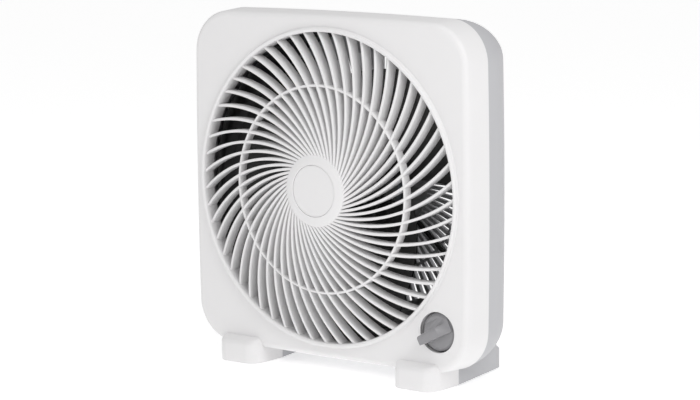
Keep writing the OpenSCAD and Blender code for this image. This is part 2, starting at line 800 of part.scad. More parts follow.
// Where a blade's two edges lie from hub (0) to tip (1), as shares of the angle from blade to blade
function back_edge(t) = 0.09 - 0.105 * t + tip_corner(t);
function front_edge(t) = 0.93 - (t < 0.45 ? 0 : 0.45 * (1 - pow(max(0, 1 - t) / 0.55, 1.35))) - tip_corner(t);
function tip_corner(t) = t < 0.9 ? 0 : 0.05 * (1 - sqrt(max(0, 1 - pow((t - 0.9) / 0.1, 2))));
function blade_point(t, share) = let (radius = blade_root_r + t * (blade_r - blade_root_r))
    [radius * cos(share * blade_share), radius * sin(share * blade_share)];

// Plan of one blade: a broad swept paddle with round corners
module blade_plan() {
    last = len(blade_steps) - 1;
    arc = [for (i = [1 : 11]) i / 12];
    polygon(concat(
        [for (t = blade_steps) blade_point(t, back_edge(t))],
        [for (k = arc) blade_point(1, back_edge(1) + k * (front_edge(1) - back_edge(1)))],
        [for (i = [0 : last]) let (t = blade_steps[last - i]) blade_point(t, front_edge(t))],
        [for (k = arc) blade_point(0, front_edge(0) + k * (back_edge(0) - front_edge(0)))]));
}

// A cambered plate at the blade's pitch, cut to the plan
module blade() {
    intersection() {
        translate([0, 0, back_z]) linear_extrude(-back_z) blade_plan();
        rotate(blade_share / 3) translate([0, 0, blade_mid_z + 4]) rotate([blade_pitch, 0, 0])
            translate([-blade_r, 0, -camber_r]) rotate([0, 90, 0]) difference() {
                cylinder(r = camber_r + blade_t / 2, h = 2 * blade_r, $fn = 240);
                translate([0, 0, -1]) cylinder(r = camber_r - blade_t / 2, h = 2 * blade_r + 2, $fn = 240);
            }
    }
}

module fan_blade() {
    color("black") facing() rotate(blade_rest) {
        for (i = [0 : blade_count - 1]) rotate(i * 360 / blade_count) blade();
        difference() {
            union() {
                rotate_extrude() polygon(concat(
                    [[blade_hub_r - hub_wall, hub_back_z], [blade_hub_r, hub_back_z]],
                    arc_points(blade_hub_r - 5, hub_front_z - 5, 5, 0, 90, 6),
                    [[0, hub_front_z], [0, hub_front_z - hub_wall], [blade_hub_r - hub_wall - 3, hub_front_z - hub_wall],
                        [blade_hub_r - hub_wall, hub_front_z - hub_wall - 3]]));
                translate([0, 0, pin_z - 2]) cylinder(r = 10, h = hub_front_z - pin_z + 1);
                for (i = [0 : 7]) rotate(i * 45) translate([8, -0.9, hub_front_z - 12])
                    cube([blade_hub_r - hub_wall - 9, 1.8, 11]);
            }
            translate([0, 0, pin_z - 3]) cylinder(r = shaft_r + 0.05, h = 40);
            // slot that the drive pin sits in
            rotate(-blade_rest) translate([-pin_half - 0.4, -pin_r - 0.1, pin_z - 3]) cube([2 * pin_half + 0.8, 2 * pin_r + 0.2, 3 + pin_r + 0.1]);
        }
    }
}

module blade_nut() {
    color("dimgray") facing() translate([0, 0, nut_z]) difference() {
        union() {
            rotate_extrude() polygon(concat(
                [[0, 0], [nut_r, 0], [nut_r, 2.5]],
                arc_points(nut_r - 8, nut_l - 8, 8, 20, 90, 5),
                [[0, nut_l]]));
            for (i = [0 : 5]) rotate(i * 60) translate([nut_r - 1.2, -1.5, 0]) cube([2.6, 3, nut_l - 5]);
        }
        translate([0, 0, -1]) cylinder(r = shaft_r + 0.05, h = nut_l - 3);
    }
}

// ---- knob and switch ----

// The finger grip in plan, with its pointer end along +x
module grip_plan() {
    intersection() {
        circle(r = knob_r);
        polygon([[-knob_r, -8.4], [-2, -8.4], [knob_r + 1, -5.4], [knob_r + 1, 5.4], [-2, 8.4], [-knob_r, 8.4]]);
    }
}

module knob() {
    slope_x = -2;
    color("darkgray") facing() at_knob() rotate(pointer_angle) difference() {
        union() {
            rotate_extrude() polygon(concat(
                [[0, knob_back_z], [knob_r, knob_back_z]],
                arc_points(knob_r - 1.2, knob_face_z - 1.2, 1.2, 0, 90, 4),
                [[0, knob_face_z]]));
            // the top of the grip is level at the pointer and falls away behind
            intersection() {
                translate([0, 0, knob_face_z - 1]) linear_extrude(grip_rise + 2) grip_plan();
                rotate([90, 0, 0]) linear_extrude(4 * knob_r, center = true) polygon([
                    [-knob_r - 1, knob_face_z - 1], [knob_r + 1, knob_face_z - 1], [knob_r + 1, grip_rise - 0.8],
                    [knob_r - 1, grip_rise], [slope_x, grip_rise - 0.4], [-knob_r + 3, knob_face_z], [-knob_r - 1, knob_face_z]]);
            }
        }
        // hollow back round the spindle boss
        difference() {
            translate([0, 0, knob_back_z - 1]) cylinder(r = knob_r - knob_wall, h = -knob_back_z + knob_face_z - knob_wall + 1);
            translate([0, 0, knob_back_z - 2]) cylinder(r = 6.2, h = 20);
        }
        translate([0, 0, knob_back_z - 1]) cylinder(r = spindle_r + 0.02, h = spindle_front_z - knob_back_z + 1.5);
    }
}

module knob_clip() {
    color("silver") facing() at_knob() translate([0, 0, knob_back_z + 1]) difference() {
        cylinder(r = 7.2, h = 3);
        translate([0, 0, -1]) cylinder(r = 6.25, h = 5);
        translate([0, -1.5, -1]) cube([9, 3, 5]);
    }
}

module switch_spindle() {
    color("gainsboro") facing() at_knob() union() {
        translate([0, 0, spindle_back_z]) cylinder(r = spindle_r, h = spindle_front_z - spindle_back_z);
        translate([0, 0, spindle_back_z]) cylinder(r = 8, h = 3);
    }
}

module switch_body() {
    color("ivory") facing() at_knob() difference() {
        translate([-switch_w / 2, -switch_w / 2, switch_z - switch_d]) cube([switch_w, switch_w, switch_d]);
        translate([0, 0, switch_z - switch_d + 2]) cylinder(r = 12, h = switch_d - 4);
        translate([0, 0, switch_z - 3]) cylinder(r = bush_r, h = 5);
    }
}

module switch_bush() {
    color("goldenrod") facing() at_knob() translate([0, 0, switch_z - 2]) difference() {
        cylinder(r = bush_r, h = well_floor_t + 6);
        translate([0, 0, -1]) cylinder(r = spindle_r + run_gap, h = 20);
    }
}

module switch_nut() {
    color("silver") facing() at_knob() translate([0, 0, well_floor_z + 0.02]) difference() {
        cylinder(r = 8, h = 2.2, $fn = 6);
        translate([0, 0, -1]) cylinder(r = bush_r + pilot_gap, h = 5);
    }
}

module switch_tags() {
    color("khaki") facing() at_knob() for (i = [-2 : 2]) translate([i * 5.4, -7, switch_z - switch_d - tag_l])
        translate([-1.6, -0.4, 0]) cube([3.2, 0.8, tag_l - 0.02]);
}

module capacitor() {
    color("white") facing() translate([cap_x - cap_size[0] / 2, cap_y - cap_size[1] / 2, back_z + wall + 0.02])
        cube(cap_size - [0, 0, 0.02]);
}

// The capacitor's own room, which the leads end at
module capacitor_room() {
    translate([cap_x - cap_size[0] / 2 - lead_gap, cap_y - cap_size[1] / 2 - lead_gap, back_z + wall])
        cube(cap_size + [2 * lead_gap, 2 * lead_gap, lead_gap]);
}

// Sleeved leads: motor to capacitor, and capacitor to switch
module motor_lead() {
    lead_z = back_z + guard_rib_d + 4;
    lead_a = atan2(cap_y + 8, cap_x);
    out = [cos(lead_a), sin(lead_a), 0];
    cap_end = [cap_x - cap_size[0] / 2 - 0.3, cap_y + 8, cap_front_z - 6];
    color("black") facing() difference() {
        tube_path([
            out * (bell_r + 0.3) + [0, 0, core_back_z - 5], out * (bell_r + 12) + [0, 0, lead_z],
            [cap_end[0] - 12, cap_end[1] * (cap_end[0] - 12) / cap_end[0], lead_z], cap_end], lead_r);
        translate([0, 0, bell_back_z - 1]) cylinder(r = bell_r + lead_gap, h = bell_l + 2);
        capacitor_room();
    }
}

module switch_lead() {
    tag_z = switch_z - switch_d - tag_l;
    color("black") facing() difference() {
        tube_path([
            [cap_x - 3, cap_y - 4, cap_front_z + 1], [cap_x, cap_y - 8, cap_front_z + 9],
            [knob_x - 3, knob_y - 5, tag_z - 10], [knob_x, knob_y - 7, tag_z - 1]], lead_r);
        capacitor_room();
        // ends at the tips of the tags
        at_knob() translate([-switch_w / 2, -switch_w / 2, tag_z - lead_gap]) cube([switch_w, switch_w, tag_l]);
    }
}

front_shell();
front_grille();
hub_badge();
rear_shell();
rear_guard();
air_duct();
front_foot_pads();
rear_foot_pads();
cord_grommet();
cord_clamp();
cord_clamp_screws();
shell_screws();
grille_screws();
duct_screws();
guard_screws();
motor_dampers();
motor_screws();
rear_end_bell();
front_end_bell();
stator_core();
stator_coils();
front_bearing();
rear_bearing();
bearing_retainers();
motor_bolts();
motor_nuts();
rotor_core();
motor_shaft();
drive_pin();
thrust_washers();
fan_blade();
blade_nut();
knob();
knob_clip();
switch_spindle();
switch_body();
switch_bush();
switch_nut();
switch_tags();
capacitor();
motor_lead();
switch_lead();
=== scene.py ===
"""A box fan on a plain pale floor: moulded shells, swirl grille, speed knob, blades, guard and motor."""

import json
import math

import bmesh
import bpy
from mathutils import Matrix, Vector


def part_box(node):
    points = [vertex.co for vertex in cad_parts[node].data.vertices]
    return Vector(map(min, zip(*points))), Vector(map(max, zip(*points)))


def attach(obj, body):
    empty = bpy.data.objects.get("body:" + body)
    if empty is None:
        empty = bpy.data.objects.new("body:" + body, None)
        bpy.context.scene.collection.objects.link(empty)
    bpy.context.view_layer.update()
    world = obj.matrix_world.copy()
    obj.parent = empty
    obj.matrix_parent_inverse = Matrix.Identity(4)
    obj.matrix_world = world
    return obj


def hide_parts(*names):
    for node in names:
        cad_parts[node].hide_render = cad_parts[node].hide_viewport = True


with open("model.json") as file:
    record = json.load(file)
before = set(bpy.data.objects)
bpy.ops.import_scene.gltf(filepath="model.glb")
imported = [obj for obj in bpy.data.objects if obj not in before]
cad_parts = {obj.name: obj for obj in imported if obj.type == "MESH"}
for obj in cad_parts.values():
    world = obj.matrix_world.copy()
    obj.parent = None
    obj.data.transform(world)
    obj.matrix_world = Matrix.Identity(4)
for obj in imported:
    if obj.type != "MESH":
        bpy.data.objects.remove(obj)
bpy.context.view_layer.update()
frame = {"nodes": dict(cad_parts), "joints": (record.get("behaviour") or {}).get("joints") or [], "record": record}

MM = 0.001

# ---- places taken from the frame, in metres ----

spin_joint = next(j for j in frame["joints"] if j["name"] == "blade_spin")
knob_joint = next(j for j in frame["joints"] if j["name"] == "knob_turn")
AXIS_Z = spin_joint["pos_m"][2]
KNOB_X, KNOB_Z = knob_joint["pos_m"][0], knob_joint["pos_m"][2]
front_low, front_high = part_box("front_shell")
rear_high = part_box("rear_shell")[1]
HALF_W = front_high.x
HALF_H = front_high.z - AXIS_Z
JOINT_Y = front_high.y
FRONT_DEPTH = 35 * MM
FACE_Y = JOINT_Y - FRONT_DEPTH
BACK_Y = JOINT_Y + 62 * MM
FLOOR_Z = front_low.z
FOOT_NOSE_Y = front_low.y
FOOT_TAIL_Y = rear_high.y

# ---- sizes of the body ----

CORNER_R = 42 * MM
BOW = 2.5 * MM
WALL = 2.6 * MM
DRAFT = 2 * MM
EDGE_R = 6.5 * MM
JOINT_STEP = 0.7 * MM
REAR_INSET = 25 * MM
BULGE_R = ((BACK_Y - JOINT_Y) ** 2 + REAR_INSET**2) / (2 * REAR_INSET)
FOOT_X = HALF_W - 63.5 * MM
FOOT_W = 51.5 * MM
FOOT_TAIL_W = 27 * MM

FOOT_GAP = 0.8 * MM
NOSE_TOP = 13.5 * MM
NOSE_ROUND = 14 * MM
NOSE_SHOULDER = 5 * MM
NOSE_SLOPE = 0.25
TAIL_TOP = 22 * MM
INTAKE_R = 136 * MM

# ---- screws and cord inlet, across and up from the axis ----

SCREW_PLACES = [(side * across * MM, up * MM)
                for across, up in ((133.5, 134.5), (106, -136.5)) for side in (1, -1)]
WELL_R = 7.5 * MM
BORE_R = 4.2 * MM
PILOT_R = 1.9 * MM
INLET_R = 6 * MM
INLET_X, INLET_Z = -127.5 * MM, AXIS_Z - 126.5 * MM

# ---- sizes of the grille ----

OPENING_R = 160 * MM
LIP_W = 5.2 * MM
VANE_COUNT = 55
VANE_T = 2.9 * MM
VANE_DEPTH = 13 * MM
VANE_CURVE_R = 173.5 * MM
VANE_LEAD = math.radians(37.7)
VANE_PHASE = math.radians(-2.5)
HUB_R = 37.5 * MM
BADGE_R = 26.4 * MM
MID_RING_R = 105 * MM

# ---- sizes of the knob, in mm ----

DISC_R = 19.2
KNOB_HOLE_R = 20.8
KNOB_WELL_R = 22.8
SPINDLE_HOLE_R = 5.1
POINTER = math.radians(208)


# ---- working with the modelling tools ----


def take(*pieces):
    """Selects these pieces and nothing else."""
    bpy.ops.object.select_all(action="DESELECT")
    for piece in pieces:
        piece.select_set(True)
    bpy.context.view_layer.objects.active = pieces[0]


def edit(piece):
    """Goes into edit mode on one piece, with nothing in it selected."""
    take(piece)
    bpy.ops.object.mode_set(mode="EDIT")
    bpy.ops.mesh.select_all(action="DESELECT")
    bpy.ops.mesh.select_mode(type="VERT")


def leave():
    """Goes back to object mode."""
    bpy.ops.object.mode_set(mode="OBJECT")


def pick(piece, kind, test):
    """In edit mode, selects the vertices, edges or faces that pass the test."""
    bpy.ops.mesh.select_all(action="DESELECT")
    bpy.ops.mesh.select_mode(type=kind)
    shape = bmesh.from_edit_mesh(piece.data)
    parts = {"VERT": shape.verts, "EDGE": shape.edges, "FACE": shape.faces}[kind]
    for part in parts:
        if test(part):
            part.select_set(True)
    shape.select_flush_mode()
    bmesh.update_edit_mesh(piece.data)


def halve(place, normal):
    """In edit mode, adds a cut through the whole piece, square to the normal."""
    bpy.ops.mesh.select_all(action="SELECT")
    bpy.ops.mesh.bisect(plane_co=place, plane_no=normal)


def named(name):
    piece = bpy.context.active_object
    piece.name = piece.data.name = name
    bpy.ops.object.transform_apply(location=True, rotation=True, scale=True)
    return piece


def block(name, low, high):
    """A box between two corners."""
    low, high = Vector(low), Vector(high)
    bpy.ops.object.select_all(action="DESELECT")
    bpy.ops.mesh.primitive_cube_add(size=1, location=(low + high) / 2, scale=high - low)
    return named(name)


def peg(name, radius, start_y, end_y, x=0.0, z=0.0, sides=64):
    """A round bar along the fan's axis direction."""
    bpy.ops.object.select_all(action="DESELECT")
    bpy.ops.mesh.primitive_cylinder_add(
        vertices=sides, radius=radius, depth=end_y - start_y,
        location=(x, (start_y + end_y) / 2, z), rotation=(math.pi / 2, 0, 0))
    return named(name)


def with_modifier(piece, kind, **settings):
    """Adds one modifier, sets it and applies it."""
    modifier = piece.modifiers.new(kind.lower(), kind)
    for key, value in settings.items():
        setattr(modifier, key, value)
    take(piece)
    bpy.ops.object.modifier_apply(modifier=modifier.name)


def combine(piece, tool, operation):
    """Cuts a tool out of a piece, or adds it to the piece, and clears the tool away."""
    with_modifier(piece, "BOOLEAN", operation=operation, solver="EXACT", object=tool)
    bpy.data.objects.remove(tool)


def cut(piece, *tools):
    for tool in tools:
        combine(piece, tool, "DIFFERENCE")


def add(piece, *tools):
    for tool in tools:
        combine(piece, tool, "UNION")


def tidy(piece, angle=35):
    """Merges doubles, turns every face outwards and smooths what isn't an edge."""
    edit(piece)
    bpy.ops.mesh.select_all(action="SELECT")
    bpy.ops.mesh.remove_doubles(threshold=0.02 * MM)
    bpy.ops.mesh.normals_make_consistent(inside=False)
    leave()
    bpy.ops.object.shade_smooth_by_angle(angle=math.radians(angle))
    return piece


def arc(centre, radius, start, end, steps):
    """Points of a round stretch of an outline, in degrees."""
    turns = [math.radians(start + (end - start) * i / steps) for i in range(steps + 1)]
    return [(centre[0] + radius * math.cos(t), centre[1] + radius * math.sin(t)) for t in turns]


def turned(name, outline, steps, x=0.0, z=AXIS_Z):
    """Turns a closed outline about an axis along Y. It gives radius and height above the face, in mm."""
    points = [Vector((x + r * MM, FACE_Y - h * MM, z)) for r, h in outline + outline[:1]]
    bpy.ops.object.select_all(action="DESELECT")
    bpy.ops.mesh.primitive_plane_add(size=1 * MM, location=points[0])
    piece = named(name)
    edit(piece)
    bpy.ops.mesh.select_all(action="SELECT")
    bpy.ops.mesh.merge(type="CENTER")
    for here, there in zip(points, points[1:]):
        bpy.ops.mesh.extrude_region_move(TRANSFORM_OT_translate={"value": there - here})
    bpy.ops.mesh.select_all(action="SELECT")
    bpy.ops.mesh.spin(steps=steps, angle=math.radians(360.0), center=(x, FACE_Y, z), axis=(0, 1, 0))
    leave()
    return tidy(piece)


def joined(name, pieces):
    """Several solids as one piece."""
    take(*pieces)
    bpy.ops.object.join()
    pieces[0].name = pieces[0].data.name = name
    return pieces[0]


def about_axis(turn):
    """The matrix that turns a mesh about the fan's axis."""
    centre = Matrix.Translation((0, 0, AXIS_Z))
    return centre @ Matrix.Rotation(turn, 4, "Y") @ centre.inverted()


def copies_around(piece, count):
    """Copies of a piece, each with its own mesh, evenly round the fan's axis."""
    made = [piece]
    for i in range(1, count):
        take(piece)
        bpy.ops.object.duplicate()
        twin = bpy.context.active_object
        twin.data.transform(about_axis(2 * math.pi * i / count))
        made.append(twin)
    return made


# ---- materials ----


class Wire:
    """One socket of a material, which takes part in Python arithmetic."""

    def __init__(self, finish, socket):
        self.finish, self.socket = finish, socket

    def maths(self, operation, *terms):
        return self.finish.node("Math", {"operation": operation}, dict(enumerate(terms)))["Value"]

    def __add__(self, other):
        return self.maths("ADD", self, other)

    def __radd__(self, other):
        return self.maths("ADD", other, self)

    def __sub__(self, other):
        return self.maths("SUBTRACT", self, other)

    def __rsub__(self, other):
        return self.maths("SUBTRACT", other, self)

    def __mul__(self, other):
        return self.maths("MULTIPLY", self, other)

    def __rmul__(self, other):
        return self.maths("MULTIPLY", other, self)

    def clamp(self):
        return self.maths("MAXIMUM", self.maths("MINIMUM", self, 1.0), 0.0)


class Outputs:
    """The outputs of one node, by name."""

    def __init__(self, finish, node):
        self.finish, self.made = finish, node

    def __getitem__(self, name):
        return Wire(self.finish, self.made.outputs[name])


class Finish:
    """A material built node by node."""

    def __init__(self, name):
        self.material = bpy.data.materials.new(name)
        self.material.use_nodes = True
        self.tree = self.material.node_tree
        self.tree.nodes.clear()

    def node(self, kind, settings=None, inputs=None):
        """Adds a node of a type, sets its settings, then fills its sockets with values or wires."""
        made = self.tree.nodes.new("ShaderNode" + kind)
        for key, value in (settings or {}).items():
            setattr(made, key, value)
        for key, value in (inputs or {}).items():
            socket = made.inputs[key]
            if isinstance(value, Wire):
                self.tree.links.new(value.socket, socket)
            else:
                socket.default_value = value
        return Outputs(self, made)

    def place(self, scale=(1, 1, 1), turn=(0, 0, 0)):
        """Object coordinates, scaled and turned."""
        where = self.node("TexCoord")["Object"]
        return self.node("Mapping", None, {"Vector": where, "Scale": scale, "Rotation": turn})["Vector"]

    def noise(self, scale, detail=2.0, roughness=0.5, where=None):
        where = where or self.node("TexCoord")["Object"]
        return self.node("TexNoise", None, {
            "Vector": where, "Scale": scale, "Detail": detail, "Roughness": roughness})["Fac"]

    def blend(self, factor, first, second):
        """A colour mix of two colours or wires."""
        mixed = self.tree.nodes.new("ShaderNodeMix")
        mixed.data_type = "RGBA"
        for socket, value in ((mixed.inputs[0], factor), (mixed.inputs[6], first), (mixed.inputs[7], second)):
            if isinstance(value, Wire):
                self.tree.links.new(value.socket, socket)
            else:
                socket.default_value = value
        return Wire(self, mixed.outputs[2])

    def bump(self, height, strength, distance, below=None):
        inputs = {"Height": height, "Strength": strength, "Distance": distance}
        if below is not None:
            inputs["Normal"] = below
        return self.node("Bump", None, inputs)["Normal"]

    def close(self, **inputs):
        """The Principled shader with these sockets, and the output."""
        sockets = {key.replace("_", " "): value for key, value in inputs.items()}
        shader = self.node("BsdfPrincipled", None, sockets)
        self.node("OutputMaterial", None, {"Surface": shader["BSDF"]})
        return self.material


def grey(level, tint=(1.0, 1.0, 1.0)):
    return (level * tint[0], level * tint[1], level * tint[2], 1.0)


def moulded_plastic(name, colour, roughness, grain=1.0, mottle=0.02, gloss=0.0):
    """Injection moulded plastic: spark eroded grain, faint flow shading and light handling marks."""
    finish = Finish(name)
    flow = finish.noise(9.0, 3.0, 0.55, finish.place(scale=(1, 1, 0.45)))
    cloud = finish.noise(38.0, 2.0)
    pores = finish.noise(1500.0, 2.0, 0.6)
    pits = finish.noise(620.0, 2.0, 0.5)
    handled = (finish.noise(21.0, 4.0, 0.7) - 0.52).clamp() * 3.0
    darker = tuple(c * (1 - 2.4 * mottle) for c in colour[:3]) + (1.0,)
    shade = (flow * 0.6 + cloud * 0.4).clamp()
    tone = finish.blend(shade, darker, colour)
    tone = finish.blend((pores - 0.55).clamp() * 0.35 * grain, tone, darker)
    rough = (roughness + (cloud - 0.5) * 0.10 + handled.clamp() * 0.05 + (pores - 0.5) * 0.06).clamp()
    normal = finish.bump(pores * 0.7 + pits * 0.5, 0.10 * grain, 0.05 * MM)
    normal = finish.bump(flow, 0.02, 2 * MM, normal)
    return finish.close(Base_Color=tone, Roughness=rough, Normal=normal,
                        Coat_Weight=gloss, Coat_Roughness=0.25)


def rubber(name, colour):
    """Moulded rubber with dust in its pores."""
    finish = Finish(name)
    pores = finish.noise(900.0, 3.0, 0.6)
    dust = (finish.noise(60.0, 4.0, 0.65) - 0.48).clamp() * 2.0
    tone = finish.blend(dust.clamp() * 0.35, colour, grey(0.16))
    return finish.close(Base_Color=tone, Roughness=(0.72 + dust * 0.15).clamp(),
                        Normal=finish.bump(pores, 0.25, 0.1 * MM))


def plated_steel(name, colour, roughness):
    """Zinc plate: fine drawn streaks, a milky bloom and small dark specks."""
    finish = Finish(name)
    streaks = finish.noise(420.0, 2.0, 0.5, finish.place(scale=(1, 0.06, 1)))
    bloom = finish.noise(90.0, 4.0, 0.6)
    specks = (finish.noise(700.0, 1.0) - 0.66).clamp() * 5.0
    tone = finish.blend((bloom * 0.55).clamp(), colour, grey(0.62, (0.97, 1.0, 1.03)))
    tone = finish.blend(specks.clamp() * 0.5, tone, grey(0.22))
    rough = (roughness + bloom * 0.18 + streaks * 0.08).clamp()
    return finish.close(Base_Color=tone, Metallic=0.95, Roughness=rough,
                        Normal=finish.bump(streaks, 0.12, 0.05 * MM))


def laminated_steel(name):
    """A stack of thin stampings, seen on edge as fine lines."""
    finish = Finish(name)
    depth = finish.node("SeparateXYZ", None, {"Vector": finish.node("TexCoord")["Object"]})["Y"]
    sheet = (depth * 2000.0).maths("FRACT", depth * 2000.0)
    edge = (sheet - 0.78).clamp() * 4.0
    oil = finish.noise(45.0, 4.0, 0.6)
    plate = finish.blend(oil, grey(0.20, (0.9, 0.97, 1.12)), grey(0.30, (0.9, 0.98, 1.1)))
    tone = finish.blend(edge.clamp(), plate, grey(0.06))
    return finish.close(Base_Color=tone, Metallic=0.85, Roughness=(0.34 + oil * 0.2).clamp(),
                        Normal=finish.bump(1.0 - edge.clamp(), 0.4, 0.1 * MM))


def wound_copper(name):
    """Varnished windings: fine turns side by side."""
    finish = Finish(name)
    slant = finish.place(turn=(0.3, 0.2, 0.5))
    turns = finish.node("TexWave", {"wave_type": "BANDS", "bands_direction": "X"}, {
        "Vector": slant, "Scale": 620.0, "Distortion": 1.2, "Detail": 1.0})["Fac"]
    varnish = finish.noise(120.0, 3.0)
    tone = finish.blend(turns, (0.20, 0.06, 0.02, 1), (0.62, 0.24, 0.09, 1))
    tone = finish.blend((varnish * 0.5).clamp(), tone, (0.32, 0.12, 0.03, 1))
    return finish.close(Base_Color=tone, Metallic=0.6, Roughness=(0.25 + varnish * 0.2).clamp(),
                        Coat_Weight=0.5, Normal=finish.bump(turns, 0.5, 0.2 * MM))


def warm_metal(name, colour, dark, roughness):
    """Bronze and brass: pressed grain with tarnish."""
    finish = Finish(name)
    grain = finish.noise(800.0, 2.0)
    tarnish = finish.noise(110.0, 4.0, 0.65)
    tone = finish.blend((tarnish * 0.8).clamp(), colour, dark)
    return finish.close(Base_Color=tone, Metallic=0.9, Roughness=(roughness + tarnish * 0.2).clamp(),
                        Normal=finish.bump(grain, 0.15, 0.05 * MM))


WHITE = grey(0.80, (1.0, 0.99, 0.995))
PALE_GREY = grey(0.505, (0.985, 0.985, 1.02))
KNOB_GREY = grey(0.27, (1.0, 0.985, 1.03))

finishes = {
    "white_plastic": moulded_plastic("white satin shell plastic", WHITE, 0.46),
    "pale_gray_plastic": moulded_plastic("pale grey satin shell plastic", PALE_GREY, 0.48),
    "gray_plastic": moulded_plastic("grey guard plastic", grey(0.48, (1.0, 1.0, 1.03)), 0.5),
    "knob_plastic": moulded_plastic("grey knob plastic", KNOB_GREY, 0.36, 0.5, 0.02, 0.1),
    "black_plastic": moulded_plastic("black blade plastic", grey(0.017), 0.42, 0.8, 0.05),
    "black_rubber": rubber("black rubber", grey(0.020)),
    "gray_rubber": rubber("grey rubber", grey(0.10)),
    "zinc_steel": plated_steel("zinc plated steel", grey(0.55, (0.98, 1.0, 1.03)), 0.24),
    "bell_zinc": plated_steel("plated motor cover", grey(0.50, (1.0, 1.0, 1.01)), 0.32),
    "lamination_steel": laminated_steel("stacked steel laminations"),
    "enamelled_copper": wound_copper("varnished copper winding"),
    "sintered_bronze": warm_metal("sintered bronze", (0.50, 0.33, 0.14, 1), (0.24, 0.13, 0.05, 1), 0.42),
    "brass_tag": warm_metal("stamped brass", (0.72, 0.52, 0.20, 1), (0.42, 0.27, 0.09, 1), 0.28),
    "cream_plastic": moulded_plastic("cream electrical plastic", (0.68, 0.62, 0.48, 1), 0.4),
}

slot_of = {part["node"]: part["material_slot"] for part in frame["record"]["subparts"]}


def painted(piece, slot):
    """Gives a piece one finish all over."""
    piece.data.materials.clear()
    piece.data.materials.append(finishes[slot])
    return piece


def settled(piece, body, slot, *nodes):
    """A finished piece: painted, riding on its body, in place of its CAD nodes."""
    painted(piece, slot)
    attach(piece, body)
    if nodes:
        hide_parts(*nodes)
    return piece


for node_name, node_piece in frame["nodes"].items():
    painted(node_piece, slot_of[node_name])


# ---- camera, light and floor ----

CAMERA_TURN, CAMERA_RISE, CAMERA_ROLL = math.radians(37.53), math.radians(8.96), math.radians(-0.545)
CAMERA_AIM = Vector((30.6 * MM, FACE_Y, AXIS_Z - 8.95 * MM))
CAMERA_DISTANCE = 2.644


def aimed_camera():
    """The camera, aimed at the fan's middle from the right and a little above."""
    back = Vector((
        math.sin(CAMERA_TURN) * math.cos(CAMERA_RISE),
        -math.cos(CAMERA_TURN) * math.cos(CAMERA_RISE),
        math.sin(CAMERA_RISE)))
    right = Vector((math.cos(CAMERA_TURN), math.sin(CAMERA_TURN), 0))
    up = back.cross(right)
    roll_right = right * math.cos(CAMERA_ROLL) + up * math.sin(CAMERA_ROLL)
    roll_up = up * math.cos(CAMERA_ROLL) - right * math.sin(CAMERA_ROLL)
    camera = bpy.data.objects.new("camera", bpy.data.cameras.new("camera"))
    bpy.context.scene.collection.objects.link(camera)
    camera.matrix_world = Matrix.Translation(CAMERA_AIM + back * CAMERA_DISTANCE) @ Matrix(
        (roll_right, roll_up, back)).transposed().to_4x4()
    camera.data.sensor_width, camera.data.lens = 36.0, 134.39
    camera.data.clip_end = 60.0
    bpy.context.scene.camera = camera


def soft_light():
    """White air all round, a key light on the right, a wide one above and a weak one in front."""
    world = bpy.data.worlds.new("studio air")
    world.use_nodes = True
    world.node_tree.nodes["Background"].inputs["Color"].default_value = (1.0, 1.0, 1.0, 1.0)
    world.node_tree.nodes["Background"].inputs["Strength"].default_value = 0.58
    bpy.context.scene.world = world
    bpy.context.scene.view_settings.view_transform = "Standard"

    for name, spot, size, power in (
            ("right softbox", (1.0, -0.5, 0.95), (0.5, 0.6), 4.2),
            ("top softbox", (0.2, -0.7, 1.9), (1.6, 1.2), 6.4),
            ("front fill", (0.9, -3.2, 1.9), (2.0, 1.4), 0.5)):
        light = bpy.data.lights.new(name, "AREA")
        light.shape, light.size, light.size_y = "RECTANGLE", size[0], size[1]
        light.energy = power
        lamp = bpy.data.objects.new(name, light)
        bpy.context.scene.collection.objects.link(lamp)
        lamp.location = spot
        lamp.rotation_euler = (Vector((0, 0, AXIS_Z)) - Vector(spot)).to_track_quat("-Z", "Y").to_euler()


def pale_floor():
    """A wide sheet of pale paper under the fan."""
    bpy.ops.object.select_all(action="DESELECT")
    bpy.ops.mesh.primitive_plane_add(size=60, location=(0, 0, 0))
    floor = named("floor")
    paper = Finish("pale paper floor")
    fibre = paper.noise(300.0, 3.0)
    paper.close(Base_Color=paper.blend(fibre, grey(0.90), grey(0.93)), Roughness=0.9,
                Emission_Color=grey(1.0), Emission_Strength=0.44)
    floor.data.materials.append(paper.material)


aimed_camera()
soft_light()
pale_floor()


# ---- front and rear shells ----


def bowed(piece):
    """Bows the four sides outwards by drawing the corners in."""
    for point in piece.data.vertices:
        across = point.co.x / HALF_W
        up = (point.co.z - AXIS_Z) / HALF_H
        point.co.x *= 1 - BOW / HALF_W * up * up
        point.co.z = AXIS_Z + (point.co.z - AXIS_Z) * (1 - BOW / HALF_H * across * across)
    return piece


def rounded_slab(name, front_y, back_y, inset=0.0):
    """A slab with the body's outline: round corners and enough cuts in its sides to bow them."""
    wide, high = HALF_W - inset, HALF_H - inset
    slab = block(name, (-wide, front_y, AXIS_Z - high), (wide, back_y, AXIS_Z + high))
    edit(slab)
    pick(slab, "EDGE", lambda e: abs(e.verts[0].co.y - e.verts[1].co.y) > 0.5 * (back_y - front_y))
    bpy.ops.mesh.bevel(offset=CORNER_R - inset, segments=14, profile=0.5, affect="EDGES")
    for i in range(-4, 5):
        for normal, reach in (((1, 0, 0), wide), ((0, 0, 1), high)):
            halve(Vector(normal) * (reach - CORNER_R) * i / 4.5 + Vector((0, 0, AXIS_Z)), normal)
    leave()
    return bowed(slab)


